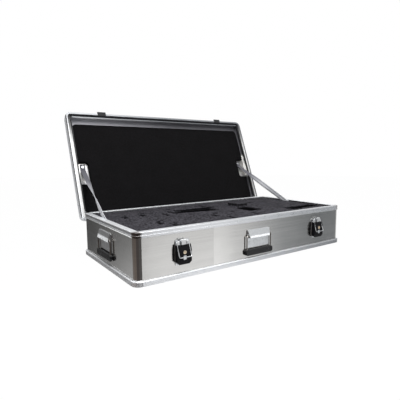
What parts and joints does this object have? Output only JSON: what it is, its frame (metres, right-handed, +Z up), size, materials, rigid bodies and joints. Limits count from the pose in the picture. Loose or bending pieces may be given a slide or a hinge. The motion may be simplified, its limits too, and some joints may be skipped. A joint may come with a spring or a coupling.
{
  "type": "transport case",
  "caption": "Shallow oblong aluminium transport case with a foam-lined hinged lid held by webbing straps, cut foam inlay, sprung lever latches and drop handles.",
  "frame": {"origin": "centre of the tub's underside, on the plane that it rests on", "axes": "+X to the right along the front, +Y to the hinged back, +Z up; the lid is stored open at 111.4 degrees"},
  "size_m": [1.214, 0.9119, 0.713],
  "materials": {
    "sheet_aluminium": "brushed along the length, lightly marked",
    "rim_aluminium": "satin extruded, a groove along the outer leg",
    "zinc_fittings": "zinc plated, slightly dull",
    "keeper_steel": "black, satin",
    "black_plastic": "moulded, satin",
    "lock_brass": "turned, pale",
    "seal_rubber": "matt, light grey",
    "tub_foam": "open-cell foam, charcoal grey",
    "lid_foam": "open-cell foam, near black",
    "webbing": "woven, light grey with darker edges"
  },
  "bodies": {
    "tub": {"foot_frame": "rim_aluminium", "tub_wall": "sheet_aluminium", "floor_panel": "sheet_aluminium", "tub_rim": "rim_aluminium", "bottom_foam_pad": "tub_foam", "foam_insert": "tub_foam", "left_hinge_base_leaf": "zinc_fittings", "left_hinge_pin": "zinc_fittings", "middle_hinge_base_leaf": "zinc_fittings", "middle_hinge_pin": "zinc_fittings", "right_hinge_base_leaf": "zinc_fittings", "right_hinge_pin": "zinc_fittings", "front_handle_bracket": "zinc_fittings", "left_handle_bracket": "zinc_fittings", "right_handle_bracket": "zinc_fittings", "left_latch_plate": "zinc_fittings", "left_lever_pin": "zinc_fittings", "left_strap": "webbing", "left_strap_rim_eyelet": "zinc_fittings", "right_latch_plate": "zinc_fittings", "right_lever_pin": "zinc_fittings", "right_strap": "webbing", "right_strap_rim_eyelet": "zinc_fittings"},
    "lid": {"lid_shell": "sheet_aluminium", "lid_frame": "rim_aluminium", "lid_seal": "seal_rubber", "lid_foam": "lid_foam", "left_hinge_lid_leaf": "zinc_fittings", "middle_hinge_lid_leaf": "zinc_fittings", "right_hinge_lid_leaf": "zinc_fittings", "left_keeper": "keeper_steel", "left_strap_lid_eyelet": "zinc_fittings", "right_keeper": "keeper_steel", "right_strap_lid_eyelet": "zinc_fittings"},
    "front_handle": {"front_handle_bail": "zinc_fittings", "front_handle_grip": "black_plastic"},
    "left_handle": {"left_handle_bail": "zinc_fittings", "left_handle_grip": "black_plastic"},
    "right_handle": {"right_handle_bail": "zinc_fittings", "right_handle_grip": "black_plastic"},
    "left_lever": {"left_latch_lever": "black_plastic", "left_latch_tab": "zinc_fittings"},
    "left_bail": {"left_latch_bail": "zinc_fittings"},
    "left_lock": {"left_lock_cylinder": "lock_brass"},
    "right_lever": {"right_latch_lever": "black_plastic", "right_latch_tab": "zinc_fittings"},
    "right_bail": {"right_latch_bail": "zinc_fittings"},
    "right_lock": {"right_lock_cylinder": "lock_brass"}
  },
  "joints": [
    {"name": "lid_hinge", "type": "hinge", "parent": "tub", "child": "lid", "pos_m": [0, 0.298, 0.166], "axis": [1, 0, 0], "range_deg": [0, 111.4], "deforming": ["left_strap", "right_strap"]},
    {"name": "front_handle_swing", "type": "hinge", "parent": "tub", "child": "front_handle", "pos_m": [0, -0.2986, 0.119], "axis": [-1, 0, 0], "range_deg": [0, 90]},
    {"name": "left_handle_swing", "type": "hinge", "parent": "tub", "child": "left_handle", "pos_m": [-0.5986, 0.008, 0.131], "axis": [0, 1, 0], "range_deg": [0, 90]},
    {"name": "right_handle_swing", "type": "hinge", "parent": "tub", "child": "right_handle", "pos_m": [0.5986, 0.008, 0.131], "axis": [0, -1, 0], "range_deg": [0, 90]},
    {"name": "left_lever_swing", "type": "hinge", "parent": "tub", "child": "left_lever", "pos_m": [-0.398, -0.3035, 0.1505], "axis": [1, 0, 0], "range_deg": [-115, 0]},
    {"name": "left_bail_swing", "type": "hinge", "parent": "left_lever", "child": "left_bail", "pos_m": [-0.398, -0.2985, 0.144], "axis": [-1, 0, 0], "range_deg": [0, 158.9]},
    {"name": "left_lock_turn", "type": "hinge", "parent": "left_lever", "child": "left_lock", "pos_m": [-0.398, -0.31, 0.105], "axis": [0, -1, 0], "range_deg": [0, 90]},
    {"name": "right_lever_swing", "type": "hinge", "parent": "tub", "child": "right_lever", "pos_m": [0.398, -0.3035, 0.1505], "axis": [1, 0, 0], "range_deg": [-115, 0]},
    {"name": "right_bail_swing", "type": "hinge", "parent": "right_lever", "child": "right_bail", "pos_m": [0.398, -0.2985, 0.144], "axis": [-1, 0, 0], "range_deg": [0, 158.9]},
    {"name": "right_lock_turn", "type": "hinge", "parent": "right_lever", "child": "right_lock", "pos_m": [0.398, -0.31, 0.105], "axis": [0, -1, 0], "range_deg": [0, 90]}
  ]
}
